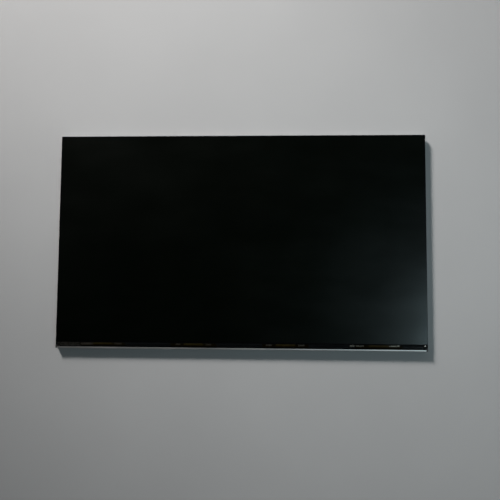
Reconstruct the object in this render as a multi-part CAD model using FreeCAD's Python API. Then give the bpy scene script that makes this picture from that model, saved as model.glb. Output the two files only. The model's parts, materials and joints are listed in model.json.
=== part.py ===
import FreeCAD, Part

import math
import os

from FreeCAD import Vector

# Edge-lit liquid-crystal display module of the borderless kind, lying on its back.
# +X is the picture's right, +Y its top and +Z its front. The origin is under the middle of the
# outline, on the plane that the module rests on. All sizes are in millimetres.

# Picture
ACTIVE_WIDTH = 527.04
ACTIVE_HEIGHT = 296.46

# Layers, each one's thickness along Z, from the back to the front
COVER_SHEET = 0.5
COVER_CLEARANCE = 0.1
BOARD_THICKNESS = 0.8
BOARD_STANDOFF = 1.0
INSULATOR_THICKNESS = 0.2
REAR_SHEET = 0.6
REFLECTOR_THICKNESS = 0.25
LIGHT_GUIDE_THICKNESS = 2.0
LOWER_DIFFUSER_THICKNESS = 0.25
PRISM_THICKNESS = 0.25
UPPER_DIFFUSER_THICKNESS = 0.25
FILM_STACK_CLEARANCE = 0.1
SHELF_THICKNESS = 0.7
CELL_TAPE_THICKNESS = 0.3
POLARIZER_THICKNESS = 0.2
GLASS_THICKNESS = 0.5

# Side and top borders, outwards from the picture
LIGHT_GUIDE_MARGIN = 1.2
LIGHT_GUIDE_CLEARANCE = 0.3
FRAME_WALL = 1.0
WINDOW_MARGIN = 0.4
GLASS_INSET = 0.4
POLARIZER_SETBACK = 0.4
CELL_TAPE_WIDTH = 1.4
BOTTOM_TAPE_WIDTH = 3.0

# Bottom border, downwards from the picture
POLARIZER_TAIL = 1.7
LEDGE_DEPTH = 4.9
REAR_POLARIZER_TAIL = 4.6
LIGHT_GUIDE_TAIL = 3.3
FILM_OVERHANG = 1.0
FILM_TO_COVER = 3.26

# Light bar
LED_LENGTH = 7.0
LED_HEIGHT = 1.4
LED_DEPTH = 0.9
LED_GAP = 0.2
LED_PITCH = 10.6
LED_ROW_MARGIN = 8.5
LED_WINDOW_RIM = 0.25
LED_WINDOW_DEPTH = 0.3
LED_BOARD_THICKNESS = 1.0
LED_BOARD_END = 1.5
THERMAL_TAPE_THICKNESS = 0.2

# Light guide's holders
STOP_LENGTH = 6.0
STOP_DEPTH = 2.1
STOP_CLEARANCE = 0.2
PAD_LENGTH = 90.0
PAD_CENTRE = 130.0

# Driver films and their chips
FILM_COUNT = 4
FILM_WIDTH = 66.0
FILM_THICKNESS = 0.1
FILM_BEND_RADIUS = 0.7
FILM_SETBACK = 1.25
FILM_BOARD_GAP = 1.3
FILM_BOARD_OVERLAP = 3.0
CHIP_LENGTH = 26.0
CHIP_WIDTH = 1.4
CHIP_THICKNESS = 0.4
CHIP_CLEARANCE = 0.2

# Dots of conductive paste on the ledge's ends
DOT_RADIUS = 0.8
DOT_HEIGHT = 0.25
DOT_INSET = 3.4
DOT_GAP = 1.15

# Moulded frame
EAR_WIDTH = 2.3
EAR_GAP = 0.2
EAR_FOOT = 0.8
HOOK_WIDTH = 9.0
HOOK_HEIGHT = 1.0
HOOK_REACH = 0.45
HOOK_CLEARANCE = 0.3
HOOK_DROP = 1.1
TOP_HOOK_PITCH = 105.0
TOP_HOOK_COUNT = 5
SIDE_HOOK_PITCH = 95.0
SIDE_HOOK_COUNT = 3

# Folds of the sheet-metal pieces
REAR_BEND_RADIUS = 0.4
COVER_BEND_RADIUS = 0.4
CORNER_RELIEF = 1.2

# Drawn forms of the rear cover
MOUNT_SPACING_X = 400.0
MOUNT_SPACING_Y = 200.0
MOUNT_TOP_INSET = 30.0
MOUNT_PAD_RADIUS = 9.0
MOUNT_HOLE_RADIUS = 1.25
MOUNT_COLLAR_WALL = 0.6
MOUNT_COLLAR_HEIGHT = 1.3
DISH_SLOPE = 1.0
DISH_ROUND = 0.9
BEAD_DEPTH = 1.2
BEAD_WIDTH = 8.0
BEAD_ROUND = 0.8
TOP_BEAD_INSET = 11.0
TOP_BEAD_END_INSET = 32.0
SIDE_BEAD_LENGTH = 190.0
SIDE_BEAD_INSET = 15.0
LOWER_BEAD_LENGTH = 320.0
FIELD_WIDTH = 320.0
FIELD_HEIGHT = 150.0
FIELD_CORNER = 22.0
FIELD_TO_BEAD = 13.0
DIMPLE_RADIUS = 3.2
DIMPLE_SLOPE = 0.8
DIMPLE_ROUND = 0.25

# Driver board
BOARD_END_MARGIN = 1.2
BOARD_BAR_WIDTH = 17.0
BOARD_TAB_LENGTH = 170.0
BOARD_TAB_DEPTH = 28.0
BOARD_CORNER = 1.5
BOARD_TO_COVER = 1.5

# Screws
SCREW_SHANK_RADIUS = 1.0
SCREW_FIT = 0.05
SCREW_PASS_RADIUS = 1.4
SCREW_HEAD_RADIUS = 2.3
SCREW_HEAD_HEIGHT = 0.8
SCREW_HEAD_ROUND = 0.3
SCREW_TIP_CLEARANCE = 0.4
SCREW_CROSS_LENGTH = 2.6
SCREW_CROSS_WIDTH = 0.6
SCREW_CROSS_DEPTH = 0.45
BOARD_SCREW_LINE = 12.0
BOARD_SCREW_INNER = 110.0
FILM_TO_BOARD_SCREW = 14.0
TAB_SCREW_INSET = 7.0

# Bottom cover
LIP_DEPTH = 2.2
LINER_SHEET = 0.1
LINER_DEPTH = 6.0
LINER_TO_LIP = 0.6
COVER_END_CLEARANCE = 0.25
FOOT_LENGTH = 7.0
FOOT_SCREW_LINE = 4.2
ARM_SCREW_COUNT = 3
ARM_SCREW_PITCH = 66.0
COVER_SCREW_INSET = 12.0
ARM_BEAD_GAP = 4.0
ARM_BEAD_WIDTH = 5.0
ARM_BEAD_DEPTH = 0.6
ARM_BEAD_END_INSET = 30.0
ARM_BEAD_LINE = 6.0
VENT_COUNT = 9
VENT_PITCH = 5.0
VENT_LENGTH = 11.0
VENT_WIDTH = 2.0
CUTOUT_MARGIN = 1.2

# Sockets: the picture's data, and the light bar's supply
VIDEO_ROW = 30.0
VIDEO_PITCH = 1.0
VIDEO_DEPTH = 5.2
VIDEO_HEIGHT = 2.1
VIDEO_PLACE = -45.0
SHELL_SHEET = 0.15
BACKLIGHT_ROW = 7.5
BACKLIGHT_PITCH = 1.25
BACKLIGHT_DEPTH = 4.4
BACKLIGHT_HEIGHT = 2.0
SOCKET_CHEEK = 2.2
SOCKET_WALL = 0.45
SOCKET_BACK = 1.1
SOCKET_OVERHANG = 0.6
CONTACT_WIDTH = 0.32
CONTACT_SHEET = 0.15
CONTACT_TAIL = 0.9
CONTACT_SETBACK = 0.8
CONTACT_BEND_RADIUS = 0.1

# Light bar's flexible tail, past the row's last lamp
FLEX_GAP = 0.8
FLEX_WIDTH = 6.0
FLEX_THICKNESS = 0.15
FLEX_BEND_RADIUS = 0.5
FLEX_ON_BAR = 1.5
FLEX_SLOT_MARGIN = 0.8
FLEX_LENGTH_ON_BOARD = 3.6
FLEX_SOCKET_DEPTH = 3.4
FLEX_SOCKET_HEIGHT = 1.0
FLEX_SOCKET_CHEEK = 1.2
FLEX_SOCKET_INSERTION = 1.6

# Parts on the driver board: width, depth and height, and places as X and a distance up the board
CONTROLLER_SIZE = (13.0, 13.0, 1.1)
CONTROLLER_PLACE = (12.0, 31.0)
POWER_CHIP_SIZE = (6.0, 6.0, 0.9)
POWER_CHIP_PLACE = (48.0, 26.0)
GAMMA_CHIP_SIZE = (5.0, 5.0, 0.9)
GAMMA_CHIP_PLACE = (-21.0, 13.0)
MEMORY_CHIP_SIZE = (4.9, 3.9, 1.3)
MEMORY_CHIP_PLACE = (-17.0, 26.0)
INDUCTOR_SIZE = (4.4, 4.4, 1.8)
INDUCTOR_GAP = 2.2
CAPACITOR_SIZE = (1.6, 0.8, 0.8)
CAPACITOR_PITCH = 3.2
CAPACITOR_LINE = 8.5
CAPACITOR_ROW = 16.0
CAPACITOR_GAP = 1.2
RESISTOR_SIZE = (1.0, 0.5, 0.35)
RESISTOR_PITCH = 2.0
RESISTOR_LINE = 10.5
RESISTOR_ROW = 12.0
VIDEO_RESISTOR_ROW = 20.0
VIDEO_RESISTOR_GAP = 1.5
CHIP_EDGE = 0.12
INDUCTOR_CORNER = 0.9
GASKET_LENGTH = 9.0
GASKET_WIDTH = 3.5
GASKET_LINE = 6.0

# Levels along Z, from the plane that the module rests on
component_room = max(VIDEO_HEIGHT, BACKLIGHT_HEIGHT, INDUCTOR_SIZE[2]) + COVER_CLEARANCE
z_cover_inner = COVER_SHEET
z_board_rear = z_cover_inner + component_room
z_board_front = z_board_rear + BOARD_THICKNESS
z_rear_outer = z_board_front + BOARD_STANDOFF
z_rear_inner = z_rear_outer + REAR_SHEET
z_guide_rear = z_rear_inner + REFLECTOR_THICKNESS
z_guide_front = z_guide_rear + LIGHT_GUIDE_THICKNESS
z_lower_front = z_guide_front + LOWER_DIFFUSER_THICKNESS
z_prism_front = z_lower_front + PRISM_THICKNESS
z_upper_front = z_prism_front + UPPER_DIFFUSER_THICKNESS
z_shelf_rear = z_upper_front + FILM_STACK_CLEARANCE
z_shelf_front = z_shelf_rear + SHELF_THICKNESS
z_tape_front = z_shelf_front + CELL_TAPE_THICKNESS
z_tft_rear = z_tape_front + POLARIZER_THICKNESS
z_tft_front = z_tft_rear + GLASS_THICKNESS
z_filter_front = z_tft_front + GLASS_THICKNESS
z_front = z_filter_front + POLARIZER_THICKNESS
z_skirt_rear = z_rear_inner + REAR_BEND_RADIUS + FILM_STACK_CLEARANCE

# Distances below the picture's lower edge
led_depth = LIGHT_GUIDE_TAIL + LED_GAP
led_board_depth = led_depth + LED_DEPTH
led_tape_depth = led_board_depth + LED_BOARD_THICKNESS
tray_wall_depth = led_tape_depth + THERMAL_TAPE_THICKNESS
skirt_depth = tray_wall_depth + REAR_SHEET
frame_depth = skirt_depth + FRAME_WALL
filter_depth = POLARIZER_TAIL + POLARIZER_SETBACK
tft_depth = filter_depth + LEDGE_DEPTH
chip_room = CHIP_THICKNESS + CHIP_CLEARANCE + FILM_THICKNESS / 2
film_depth = max(tft_depth + FILM_OVERHANG, frame_depth + chip_room)
bottom_border = film_depth + FILM_TO_COVER + COVER_SHEET

# Outline and the lines that follow from it
side_border = LIGHT_GUIDE_MARGIN + LIGHT_GUIDE_CLEARANCE + FRAME_WALL + REAR_SHEET
half_width = ACTIVE_WIDTH / 2 + side_border
outline_height = ACTIVE_HEIGHT + side_border + bottom_border
y_top = outline_height / 2
y_active_top = y_top - side_border
y_active = y_active_top - ACTIVE_HEIGHT
y_guide = y_active - LIGHT_GUIDE_TAIL
y_led_board = y_active - led_board_depth
y_led_tape = y_active - led_tape_depth
y_tray_wall = y_active - tray_wall_depth
y_skirt = y_active - skirt_depth
y_frame = y_active - frame_depth
y_filter = y_active - filter_depth
y_tft = y_active - tft_depth
y_film = y_active - film_depth
y_bottom = y_active - bottom_border

# Lines of the driver board and the bottom cover
film_pitch = ACTIVE_WIDTH / FILM_COUNT
film_row_half = film_pitch * (FILM_COUNT - 1) / 2 + FILM_WIDTH / 2
led_count = int((ACTIVE_WIDTH - 2 * LED_ROW_MARGIN) // LED_PITCH)
led_row_half = LED_PITCH * (led_count - 1) / 2 + LED_LENGTH / 2
x_flex = -(led_row_half + FLEX_GAP + FLEX_WIDTH / 2)
led_board_half = FLEX_WIDTH / 2 + LED_BOARD_END - x_flex
flex_socket_half = FLEX_WIDTH / 2 + FLEX_SOCKET_CHEEK
board_half = max(film_row_half, flex_socket_half - x_flex) + BOARD_END_MARGIN
tab_half = BOARD_TAB_LENGTH / 2
y_board = y_film + FILM_THICKNESS / 2 + FILM_BOARD_GAP
y_bar_top = y_board + BOARD_BAR_WIDTH
y_tab_top = y_bar_top + BOARD_TAB_DEPTH
y_arm_wall = y_bar_top + BOARD_TO_COVER
y_tab_wall = y_tab_top + BOARD_TO_COVER
tab_cover_half = tab_half + BOARD_TO_COVER + COVER_SHEET
x_ear = half_width - EAR_WIDTH
cover_half = x_ear - COVER_END_CLEARANCE
x_arm_screw = cover_half - COVER_SCREW_INSET
y_flex = y_led_board + FLEX_THICKNESS / 2
y_mount = y_top - MOUNT_TOP_INSET - MOUNT_SPACING_Y / 2


class Rect:
    """Rectangle in the picture's plane, from which a layer's outline is grown."""

    def __init__(self, left, right, bottom, top):
        self.left, self.right, self.bottom, self.top = left, right, bottom, top

    def grown(self, sides, top, bottom):
        return Rect(self.left - sides, self.right + sides, self.bottom - bottom, self.top + top)

    def slab(self, z0, z1):
        return block(self.left, self.right, self.bottom, self.top, z0, z1)


def block(x0, x1, y0, y1, z0, z1):
    """Straight-sided block between two corners."""
    return Part.makeBox(x1 - x0, y1 - y0, z1 - z0, Vector(x0, y0, z0))


def centred_block(x, y, size, z0, z1):
    """Block about a point of the board, with a width and a depth."""
    return block(x - size[0] / 2, x + size[0] / 2, y - size[1] / 2, y + size[1] / 2, z0, z1)


def cylinder(x, y, radius, z0, z1):
    return Part.makeCylinder(radius, z1 - z0, Vector(x, y, z0))


def prism(points, z0, z1):
    """Straight prism on a closed outline of corners."""
    wire = Part.makePolygon([Vector(x, y, z0) for x, y in points + points[:1]])
    return Part.Face(wire).extrude(Vector(0, 0, z1 - z0))


def line(a, b):
    return Part.LineSegment(a, b).toShape()


def arc(a, middle, b):
    return Part.Arc(a, middle, b).toShape()


def folded_side(path, offset, radius):
    """Edges of one face of a folded sheet, offset to the left of the sheet's middle line."""
    edges = []
    start = None
    for i in range(1, len(path)):
        along = (path[i] - path[i - 1]).normalize()
        left = Vector(0, -along.z, along.y)
        begin = path[i - 1] + left * offset if start is None else start
        if i == len(path) - 1:
            edges.append(line(begin, path[i] + left * offset))
            break
        onward = (path[i + 1] - path[i]).normalize()
        next_left = Vector(0, -onward.z, onward.y)
        side = 1 if along.cross(onward).x > 0 else -1
        setback = radius * math.tan(along.getAngle(onward) / 2)
        centre = path[i] - along * setback + left * (radius * side)
        reach = radius - side * offset
        bend_start = path[i] - along * setback + left * offset
        bend_end = path[i] + onward * setback + next_left * offset
        bend_middle = centre + (path[i] - centre).normalize() * reach
        edges.append(line(begin, bend_start))
        edges.append(arc(bend_start, bend_middle, bend_end))
        start = bend_end
    return edges


def folded_sheet(points, thickness, inner_radius, x0, x1):
    """Sheet folded along (y, z) points on its middle line, with round bends, cut off at x0 and x1."""
    path = [Vector(x0, y, z) for y, z in points]
    radius = inner_radius + thickness / 2
    left = folded_side(path, thickness / 2, radius)
    right = folded_side(path, -thickness / 2, radius)
    first = line(left[0].Vertexes[0].Point, right[0].Vertexes[0].Point)
    last = line(left[-1].Vertexes[-1].Point, right[-1].Vertexes[-1].Point)
    wire = Part.Wire(Part.__sortEdges__(left + right + [first, last]))
    return Part.Face(wire).extrude(Vector(x1 - x0, 0, 0))


def rounded_outline(x, y, width, height, radius, z):
    """Rectangle with four round corners, as a closed wire."""
    dx, dy = width / 2 - radius, height / 2 - radius
    slant = radius * math.sqrt(0.5)
    edges = []
    for sx, sy in ((1, 1), (-1, 1), (-1, -1), (1, -1)):
        corner = Vector(x + sx * dx, y + sy * dy, z)
        beside = corner + Vector(sx * radius, 0, 0)
        above = corner + Vector(0, sy * radius, 0)
        middle = corner + Vector(sx * slant, sy * slant, 0)
        ends = (beside, above) if sx == sy else (above, beside)
        edges.append(arc(ends[0], middle, ends[1]))
    starts = [e.Vertexes[0].Point for e in edges]
    ends = [e.Vertexes[-1].Point for e in edges]
    sides = [line(ends[i], starts[(i + 1) % 4]) for i in range(4)]
    return Part.Wire(Part.__sortEdges__(edges + sides))


def slot_outline(x, y, length, width, z, upright=False):
    """Slot with half-round ends, as a closed wire."""
    half, radius = (length - width) / 2, width / 2
    along, across = (Vector(0, 1, 0), Vector(-1, 0, 0)) if upright else (Vector(1, 0, 0), Vector(0, 1, 0))
    centre = Vector(x, y, z)
    far, near = centre + along * half, centre - along * half
    edges = [
        line(near - across * radius, far - across * radius),
        arc(far - across * radius, far + along * radius, far + across * radius),
        line(far + across * radius, near + across * radius),
        arc(near + across * radius, near - along * radius, near - across * radius),
    ]
    return Part.Wire(edges)


def rim_rounded(solid, z, radius):
    """Rounds the edges of a solid that lie at one level."""
    rim = [e for e in solid.Edges if all(abs(v.Z - z) < 1e-6 for v in e.Vertexes)]
    return solid.makeFillet(radius, rim)


def drawn_form(base, crown, z_crown, round_radius):
    """Solid that a drawn bead or field takes up, from its foot on the sheet to its crown."""
    return rim_rounded(Part.makeLoft([base, crown], True), z_crown, round_radius)


def moved(shape, dz):
    copy = shape.copy()
    copy.translate(Vector(0, 0, dz))
    return copy


def pressed(sheet, forms, step):
    """Sheet with drawn forms: each is added on one face and taken out of the other, one step away."""
    return sheet.fuse(forms).cut([moved(f, step) for f in forms])


def one_solid(shape):
    return shape.removeSplitter()


def group(shapes):
    """Separate like pieces that share one node."""
    return Part.makeCompound(shapes)


def mirrored(places):
    return [p * side for side in (-1, 1) for p in places]


def spread(count, pitch):
    """Evenly spaced places about zero."""
    return [pitch * (i - (count - 1) / 2) for i in range(count)]


active = Rect(-ACTIVE_WIDTH / 2, ACTIVE_WIDTH / 2, y_active, y_active_top)
guide = active.grown(LIGHT_GUIDE_MARGIN, LIGHT_GUIDE_MARGIN, LIGHT_GUIDE_TAIL)
glass_margin = side_border - GLASS_INSET
polarizer_margin = glass_margin - POLARIZER_SETBACK


# Display cell


def front_polarizer():
    film = active.grown(polarizer_margin, polarizer_margin, POLARIZER_TAIL)
    return film.slab(z_filter_front, z_front)


def color_filter_glass():
    return active.grown(glass_margin, glass_margin, filter_depth).slab(z_tft_front, z_filter_front)


def tft_glass():
    return active.grown(glass_margin, glass_margin, tft_depth).slab(z_tft_rear, z_tft_front)


def rear_polarizer():
    film = active.grown(polarizer_margin, polarizer_margin, REAR_POLARIZER_TAIL)
    return film.slab(z_tape_front, z_tft_rear)


def film_centres():
    return spread(FILM_COUNT, film_pitch)


def driver_film(x):
    """Film from the glass ledge, over its edge and down, then back under the driver board."""
    z_on_glass = z_tft_front + FILM_THICKNESS / 2
    z_on_board = z_board_rear - FILM_THICKNESS / 2
    path = [
        (y_filter - FILM_SETBACK, z_on_glass),
        (y_film, z_on_glass),
        (y_film, z_on_board),
        (y_board + FILM_BOARD_OVERLAP, z_on_board),
    ]
    return folded_sheet(path, FILM_THICKNESS, FILM_BEND_RADIUS, x - FILM_WIDTH / 2, x + FILM_WIDTH / 2)


def driver_chip(x):
    """Chip on the inner side of the film's hanging stretch."""
    middle = (z_tft_front + z_board_rear) / 2
    y0 = y_film + FILM_THICKNESS / 2
    half_length, half_width_z = CHIP_LENGTH / 2, CHIP_WIDTH / 2
    levels = (middle - half_width_z, middle + half_width_z)
    return block(x - half_length, x + half_length, y0, y0 + CHIP_THICKNESS, *levels)


def ground_dot(side):
    """Flat dome of paste on the ledge, close to the front glass's edge."""
    x = side * (half_width - GLASS_INSET - DOT_INSET)
    y = y_filter - DOT_GAP - DOT_RADIUS
    ball = (DOT_RADIUS ** 2 + DOT_HEIGHT ** 2) / (2 * DOT_HEIGHT)
    sphere = Part.makeSphere(ball, Vector(x, y, z_tft_front + DOT_HEIGHT - ball))
    reach = 2 * DOT_RADIUS
    return sphere.common(centred_block(x, y, (reach, reach), z_tft_front, z_tft_front + ball))


# Frame and tape


def hook_places():
    """Snap hooks, as a point on a skirt's face and the direction that it stands out in."""
    sides = spread(SIDE_HOOK_COUNT, SIDE_HOOK_PITCH)
    places = [(x, y_top - REAR_SHEET, 0, 1) for x in spread(TOP_HOOK_COUNT, TOP_HOOK_PITCH)]
    places += [(side * (half_width - REAR_SHEET), y, side, 0) for side in (-1, 1) for y in sides]
    places += [(x, y_skirt, 0, 1) for x in spread(FILM_COUNT - 1, film_pitch)]
    return places


def hook(place, reach, margin):
    """Snap hook, or with a margin the window that it goes into. It stands out of a skirt's face."""
    x, y, dx, dy = place
    half = HOOK_WIDTH / 2 + margin
    z1 = z_shelf_rear - HOOK_DROP + margin
    z0 = z1 - HOOK_HEIGHT - 2 * margin
    if dx:
        return block(min(x, x + dx * reach), max(x, x + dx * reach), y - half, y + half, z0, z1)
    return block(x - half, x + half, min(y, y + dy * reach), max(y, y + dy * reach), z0, z1)


def end_ear(side):
    """Post that closes one end of the space behind the bottom cover, with a step for the glass."""
    x0, x1 = sorted((side * x_ear, side * half_width))
    low = block(x0, x1, y_bottom, y_skirt, EAR_FOOT, z_shelf_front)
    high = block(x0, x1, y_bottom, y_tft - EAR_GAP, EAR_FOOT, z_tft_front)
    return low.fuse(high)


def mid_frame():
    """Frame with the shelf under the cell, skirts inside three walls and outside the bottom one."""
    outline = Rect(-half_width, half_width, y_frame, y_top)
    window = active.grown(WINDOW_MARGIN, WINDOW_MARGIN, WINDOW_MARGIN)
    shelf = outline.slab(z_shelf_rear, z_shelf_front).cut(window.slab(z_shelf_rear, z_shelf_front))
    skirt_outer = half_width - REAR_SHEET
    skirt_inner = skirt_outer - FRAME_WALL
    y_skirt_top = y_top - REAR_SHEET
    skirts = [
        block(-skirt_outer, -skirt_inner, y_guide, y_skirt_top, z_skirt_rear, z_shelf_rear),
        block(skirt_inner, skirt_outer, y_guide, y_skirt_top, z_skirt_rear, z_shelf_rear),
        block(-skirt_outer, skirt_outer, y_skirt_top - FRAME_WALL, y_skirt_top, z_skirt_rear, z_shelf_rear),
        block(-half_width, half_width, y_frame, y_skirt, z_skirt_rear, z_shelf_rear),
    ]
    hooks = [hook(p, HOOK_REACH, 0) for p in hook_places()]
    return one_solid(shelf.fuse(skirts + hooks + [end_ear(-1), end_ear(1)]))


def cell_tapes():
    """Tape between the shelf and the cell's rear polariser: two short strips between two long ones."""
    outer = active.grown(polarizer_margin, polarizer_margin, 0)
    y_low_outer = y_active - REAR_POLARIZER_TAIL
    y_low_inner = y_low_outer + BOTTOM_TAPE_WIDTH
    y_high_inner = outer.top - CELL_TAPE_WIDTH
    x_inner = outer.right - CELL_TAPE_WIDTH
    strips = {
        "cell_tape_top": Rect(outer.left, outer.right, y_high_inner, outer.top),
        "cell_tape_bottom": Rect(outer.left, outer.right, y_low_outer, y_low_inner),
        "cell_tape_left": Rect(outer.left, -x_inner, y_low_inner, y_high_inner),
        "cell_tape_right": Rect(x_inner, outer.right, y_low_inner, y_high_inner),
    }
    return {name: strip.slab(z_shelf_front, z_tape_front) for name, strip in strips.items()}


# Backlight


def guide_layer(z0, z1):
    """Layer with the light guide's outline: a rectangle with a notch in each lower corner for the stops."""
    length, depth = STOP_LENGTH + STOP_CLEARANCE, STOP_DEPTH + STOP_CLEARANCE
    corners = [
        (guide.left, guide.top),
        (guide.left, guide.bottom + depth),
        (guide.left + length, guide.bottom + depth),
        (guide.left + length, guide.bottom),
        (guide.right - length, guide.bottom),
        (guide.right - length, guide.bottom + depth),
        (guide.right, guide.bottom + depth),
        (guide.right, guide.top),
    ]
    return prism(corners, z0, z1)


def guide_stop(side):
    x0, x1 = sorted((side * guide.right, side * (guide.right - STOP_LENGTH)))
    return block(x0, x1, guide.bottom, guide.bottom + STOP_DEPTH, z_rear_inner, z_guide_front)


def guide_pad(side):
    x = side * PAD_CENTRE
    y1 = guide.top + LIGHT_GUIDE_CLEARANCE
    return block(x - PAD_LENGTH / 2, x + PAD_LENGTH / 2, guide.top, y1, z_guide_rear, z_guide_front)


def led_board():
    half = led_board_half
    return block(-half, half, y_led_tape, y_led_board, z_skirt_rear, z_shelf_rear - FILM_STACK_CLEARANCE)


def led_thermal_tape():
    half = led_board_half
    return block(-half, half, y_tray_wall, y_led_tape, z_skirt_rear, z_shelf_rear - FILM_STACK_CLEARANCE)


def led_packages():
    """Row of lamps on the board, each with a sunk window that faces the light guide."""
    z0 = max(z_skirt_rear, (z_guide_rear + z_guide_front - LED_HEIGHT) / 2)
    y1 = y_led_board + LED_DEPTH
    half, inner = LED_LENGTH / 2, LED_LENGTH / 2 - LED_WINDOW_RIM
    lamps = []
    for x in spread(led_count, LED_PITCH):
        body = block(x - half, x + half, y_led_board, y1, z0, z0 + LED_HEIGHT)
        window = (z0 + LED_WINDOW_RIM, z0 + LED_HEIGHT - LED_WINDOW_RIM)
        lamps.append(body.cut(block(x - inner, x + inner, y1 - LED_WINDOW_DEPTH, y1, *window)))
    return group(lamps)


def led_flex():
    """Tail from the light bar's end, down through the rear cover and along the driver board's back."""
    z_run = z_board_rear - FLEX_THICKNESS / 2
    path = [
        (y_flex, z_skirt_rear + FLEX_ON_BAR),
        (y_flex, z_run),
        (y_flex + FLEX_LENGTH_ON_BOARD + FLEX_SOCKET_INSERTION, z_run),
    ]
    half = FLEX_WIDTH / 2
    return folded_sheet(path, FLEX_THICKNESS, FLEX_BEND_RADIUS, x_flex - half, x_flex + half)


def led_flex_socket():
    """Low socket on the driver board, with a slit for the tail."""
    half = flex_socket_half
    y0 = y_flex + FLEX_LENGTH_ON_BOARD
    z0 = z_board_rear - FLEX_SOCKET_HEIGHT
    body = block(x_flex - half, x_flex + half, y0, y0 + FLEX_SOCKET_DEPTH, z0, z_board_rear)
    slit = block(
        x_flex - FLEX_WIDTH / 2,
        x_flex + FLEX_WIDTH / 2,
        y0,
        y0 + FLEX_SOCKET_INSERTION,
        z_board_rear - FLEX_THICKNESS,
        z_board_rear,
    )
    return body.cut(slit)


# Screws


def board_screw_points():
    on_bar = [BOARD_SCREW_INNER, film_row_half + FILM_TO_BOARD_SCREW]
    on_tab = [tab_half - TAB_SCREW_INSET]
    points = [(x, y_board + BOARD_SCREW_LINE) for x in mirrored(on_bar)]
    return points + [(x, y_tab_top - TAB_SCREW_INSET) for x in mirrored(on_tab)]


def cover_screw_points():
    on_arm = [x_arm_screw - ARM_SCREW_PITCH * i for i in range(ARM_SCREW_COUNT)]
    on_tab = [tab_cover_half - COVER_SCREW_INSET]
    points = [(x, y_arm_wall + FOOT_SCREW_LINE) for x in mirrored(on_arm)]
    return points + [(x, y_tab_wall + FOOT_SCREW_LINE) for x in mirrored(on_tab)]


def screw(x, y, z_seat):
    """Pan-head screw that goes in from behind, with its head under the seat and a cross in the head."""
    z_head = z_seat - SCREW_HEAD_HEIGHT
    head = rim_rounded(cylinder(x, y, SCREW_HEAD_RADIUS, z_head, z_seat), z_head, SCREW_HEAD_ROUND)
    shank = cylinder(x, y, SCREW_SHANK_RADIUS, z_seat, z_rear_inner - SCREW_TIP_CLEARANCE)
    cross = [
        centred_block(x, y, size, z_head, z_head + SCREW_CROSS_DEPTH)
        for size in ((SCREW_CROSS_LENGTH, SCREW_CROSS_WIDTH), (SCREW_CROSS_WIDTH, SCREW_CROSS_LENGTH))
    ]
    return one_solid(head.fuse(shank).cut(cross))


def board_screws():
    return group([screw(x, y, z_board_rear) for x, y in board_screw_points()])


def cover_screws():
    return group([screw(x, y, z_board_front - COVER_SHEET) for x, y in cover_screw_points()])


# Rear cover


def mount_points():
    dx, dy = MOUNT_SPACING_X / 2, MOUNT_SPACING_Y / 2
    return [(sx * dx, y_mount + sy * dy) for sx in (-1, 1) for sy in (-1, 1)]


def round_dish(x, y, radius, depth, slope, round_radius):
    """Round drawn form: a cone from its wide foot on the sheet to its flat crown."""
    crown = z_rear_outer - depth
    cone = Part.makeCone(radius, radius + depth * slope, depth, Vector(x, y, crown))
    return rim_rounded(cone, crown, round_radius)


def rear_bead(x, y, length, upright):
    crown = z_rear_outer - BEAD_DEPTH
    base = slot_outline(x, y, length, BEAD_WIDTH, z_rear_outer, upright)
    top = slot_outline(x, y, length - 2 * BEAD_DEPTH, BEAD_WIDTH - 2 * BEAD_DEPTH, crown, upright)
    return drawn_form(base, top, crown, BEAD_ROUND)


def rear_field(y):
    crown = z_rear_outer - BEAD_DEPTH
    base = rounded_outline(0, y, FIELD_WIDTH, FIELD_HEIGHT, FIELD_CORNER, z_rear_outer)
    shrink = 2 * BEAD_DEPTH
    top = rounded_outline(0, y, FIELD_WIDTH - shrink, FIELD_HEIGHT - shrink, FIELD_CORNER - BEAD_DEPTH, crown)
    return drawn_form(base, top, crown, BEAD_ROUND)


def rear_forms():
    """Every drawn form on the rear cover's floor: beads, middle field, mounting dishes and screw dimples."""
    side_x = half_width - SIDE_BEAD_INSET
    top_length = 2 * (half_width - TOP_BEAD_END_INSET)
    field_bottom = y_mount - FIELD_HEIGHT / 2
    forms = [
        rear_bead(0, y_top - TOP_BEAD_INSET, top_length, False),
        rear_bead(-side_x, y_mount, SIDE_BEAD_LENGTH, True),
        rear_bead(side_x, y_mount, SIDE_BEAD_LENGTH, True),
        rear_bead(0, field_bottom - FIELD_TO_BEAD, LOWER_BEAD_LENGTH, False),
        rear_field(y_mount),
    ]
    dish = (MOUNT_PAD_RADIUS, z_rear_outer, DISH_SLOPE, DISH_ROUND)
    dimple = (DIMPLE_RADIUS, BOARD_STANDOFF, DIMPLE_SLOPE, DIMPLE_ROUND)
    forms += [round_dish(x, y, *dish) for x, y in mount_points()]
    forms += [round_dish(x, y, *dimple) for x, y in board_screw_points() + cover_screw_points()]
    return forms


def tray_wall(outer, start, end, turn):
    """One upturned wall: its outer face lies at a distance from the origin, along +Y turned about Z."""
    middle = outer - REAR_SHEET / 2
    z_floor = z_rear_outer + REAR_SHEET / 2
    inward = outer - 2 * (REAR_SHEET + REAR_BEND_RADIUS)
    path = [(inward, z_floor), (middle, z_floor), (middle, z_shelf_rear)]
    wall = folded_sheet(path, REAR_SHEET, REAR_BEND_RADIUS, start, end)
    wall.rotate(Vector(0, 0, 0), Vector(0, 0, 1), turn)
    return wall


def flex_slot(z0, z1):
    half = FLEX_WIDTH / 2 + FLEX_SLOT_MARGIN
    return block(x_flex - half, x_flex + half, y_flex - FLEX_SLOT_MARGIN, y_flex + FLEX_SLOT_MARGIN, z0, z1)


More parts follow.
